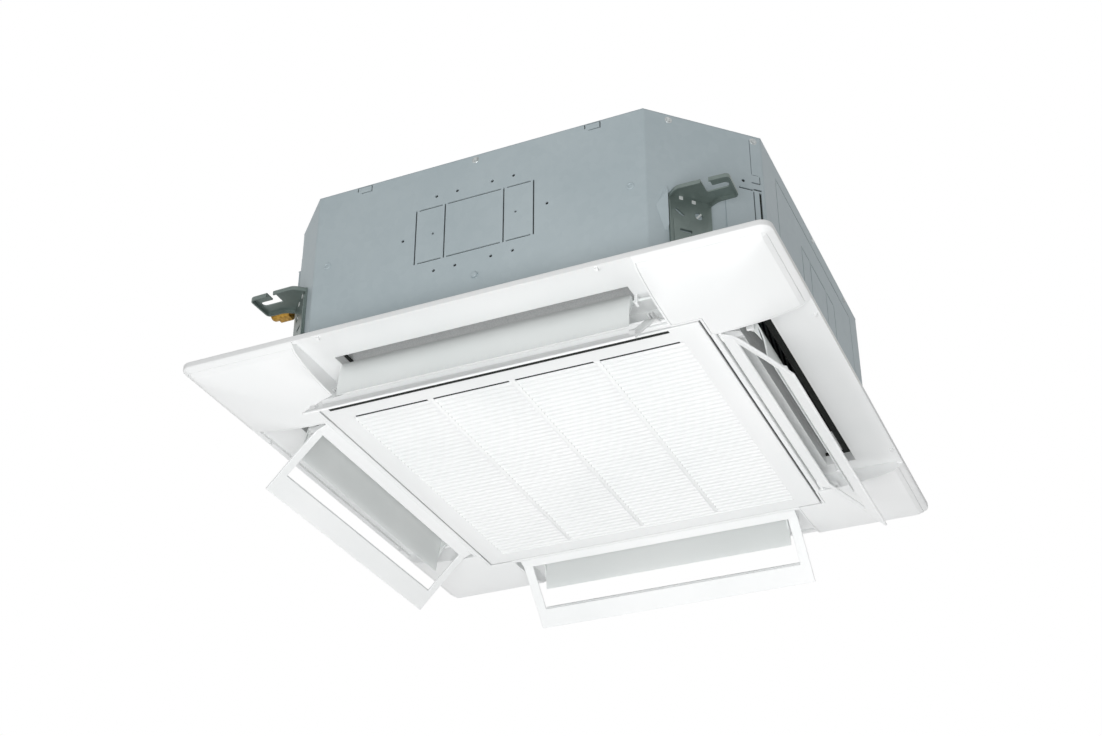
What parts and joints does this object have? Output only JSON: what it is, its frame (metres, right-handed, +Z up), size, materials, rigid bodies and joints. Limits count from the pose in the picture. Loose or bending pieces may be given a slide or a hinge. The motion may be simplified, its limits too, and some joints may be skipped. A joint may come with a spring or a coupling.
{
  "type": "ceiling cassette air conditioner",
  "caption": "Square ceiling cassette: sheet-metal body above the ceiling, panel below it with intake grille, outlets, louvres and tilting draft frames.",
  "frame": {"origin": "centre of the unit in the plane of the ceiling, which is the top of the panel rim", "axes": "+Z up into the ceiling void, +X towards the side seen at the right of the picture, -Y towards the camera"},
  "size_m": [0.95, 0.95, 0.4239],
  "materials": {
    "casing_sheet": "galvanised sheet, satin",
    "bracket_steel": "zinc-plated steel, dull",
    "white_plastic": "moulded, fine satin",
    "black_foam": "closed-cell foam, matt",
    "pale_foam": "moulded bead foam",
    "brass": "machined",
    "copper": "drawn tube",
    "coil": "finned",
    "dark_plastic": "moulded",
    "zinc": "zinc plated"
  },
  "bodies": {
    "unit": {"casing_wall": "casing_sheet", "roof_plate": "casing_sheet", "hatch_cover": "casing_sheet", "piping_plate": "casing_sheet", "control_box": "casing_sheet", "control_box_lid": "casing_sheet", "motor_bracket": "bracket_steel", "hanging_bracket_near_right": "bracket_steel", "hanging_bracket_far_right": "bracket_steel", "hanging_bracket_far_left": "bracket_steel", "hanging_bracket_near_left": "bracket_steel", "panel_frame": "white_plastic", "corner_lid_near_right": "white_plastic", "corner_lid_far_right": "white_plastic", "corner_lid_far_left": "white_plastic", "corner_lid_near_left": "white_plastic", "panel_screw_near_right": "zinc", "panel_screw_far_right": "zinc", "panel_screw_far_left": "zinc", "panel_screw_near_left": "zinc", "outlet_seal_right": "black_foam", "outlet_seal_far": "black_foam", "outlet_seal_left": "black_foam", "outlet_seal_near": "black_foam", "louver_motor_right": "dark_plastic", "louver_motor_far": "dark_plastic", "louver_motor_left": "dark_plastic", "louver_motor_near": "dark_plastic", "draft_motor_right": "dark_plastic", "draft_motor_far": "dark_plastic", "draft_motor_left": "dark_plastic", "draft_motor_near": "dark_plastic", "insulation_liner": "black_foam", "drain_pan": "pale_foam", "bell_mouth": "pale_foam", "heat_exchanger": "coil", "fan_motor": "zinc", "drain_pump": "dark_plastic", "float_switch_stem": "dark_plastic", "drain_socket": "dark_plastic", "gas_union": "brass", "liquid_union": "brass", "gas_pipe": "copper", "liquid_pipe": "copper"},
    "fan": {"turbo_fan": "dark_plastic", "fan_shroud": "dark_plastic", "fan_nut": "zinc"},
    "louver_right": {"louver_right": "white_plastic"},
    "louver_far": {"louver_far": "white_plastic"},
    "louver_left": {"louver_left": "white_plastic"},
    "louver_near": {"louver_near": "white_plastic"},
    "draft_frame_right": {"draft_frame_right": "white_plastic"},
    "draft_frame_far": {"draft_frame_far": "white_plastic"},
    "draft_frame_left": {"draft_frame_left": "white_plastic"},
    "draft_frame_near": {"draft_frame_near": "white_plastic"},
    "grille": {"intake_grille": "white_plastic", "air_filter": "dark_plastic"},
    "catch_left": {"grille_catch_left": "dark_plastic"},
    "catch_right": {"grille_catch_right": "dark_plastic"},
    "float": {"float": "pale_foam"}
  },
  "joints": [
    {"name": "fan_spin", "type": "hinge", "parent": "unit", "child": "fan", "pos_m": [0, 0, 0.2], "axis": [0, 0, 1], "continuous": true},
    {"name": "louver_right_tilt", "type": "hinge", "parent": "unit", "child": "louver_right", "pos_m": [0.372, 0, -0.012], "axis": [0, 1, 0], "range_deg": [-64, 5]},
    {"name": "louver_far_tilt", "type": "hinge", "parent": "unit", "child": "louver_far", "pos_m": [0, 0.372, -0.012], "axis": [-1, 0, 0], "range_deg": [-64, 5]},
    {"name": "louver_left_tilt", "type": "hinge", "parent": "unit", "child": "louver_left", "pos_m": [-0.372, 0, -0.012], "axis": [0, -1, 0], "range_deg": [-64, 5]},
    {"name": "louver_near_tilt", "type": "hinge", "parent": "unit", "child": "louver_near", "pos_m": [0, -0.372, -0.012], "axis": [1, 0, 0], "range_deg": [-64, 5]},
    {"name": "draft_frame_right_tilt", "type": "hinge", "parent": "unit", "child": "draft_frame_right", "pos_m": [0.332, 0, -0.029], "axis": [0, 1, 0], "range_deg": [-49, 0]},
    {"name": "draft_frame_far_tilt", "type": "hinge", "parent": "unit", "child": "draft_frame_far", "pos_m": [0, 0.332, -0.029], "axis": [-1, 0, 0], "range_deg": [-49, 0]},
    {"name": "draft_frame_left_tilt", "type": "hinge", "parent": "unit", "child": "draft_frame_left", "pos_m": [-0.332, 0, -0.029], "axis": [0, -1, 0], "range_deg": [-49, 0]},
    {"name": "draft_frame_near_tilt", "type": "hinge", "parent": "unit", "child": "draft_frame_near", "pos_m": [0, -0.332, -0.029], "axis": [1, 0, 0], "range_deg": [-46.5, 0]},
    {"name": "grille_hinge", "type": "hinge", "parent": "unit", "child": "grille", "pos_m": [0, -0.313, -0.032], "axis": [-1, 0, 0], "range_deg": [0, 85]},
    {"name": "catch_left_slide", "type": "slide", "parent": "grille", "child": "catch_left", "axis": [0, -1, 0], "range_m": [0, 0.006]},
    {"name": "catch_right_slide", "type": "slide", "parent": "grille", "child": "catch_right", "axis": [0, -1, 0], "range_m": [0, 0.006]},
    {"name": "float_rise", "type": "slide", "parent": "unit", "child": "float", "axis": [0, 0, 1], "range_m": [0, 0.01]}
  ]
}
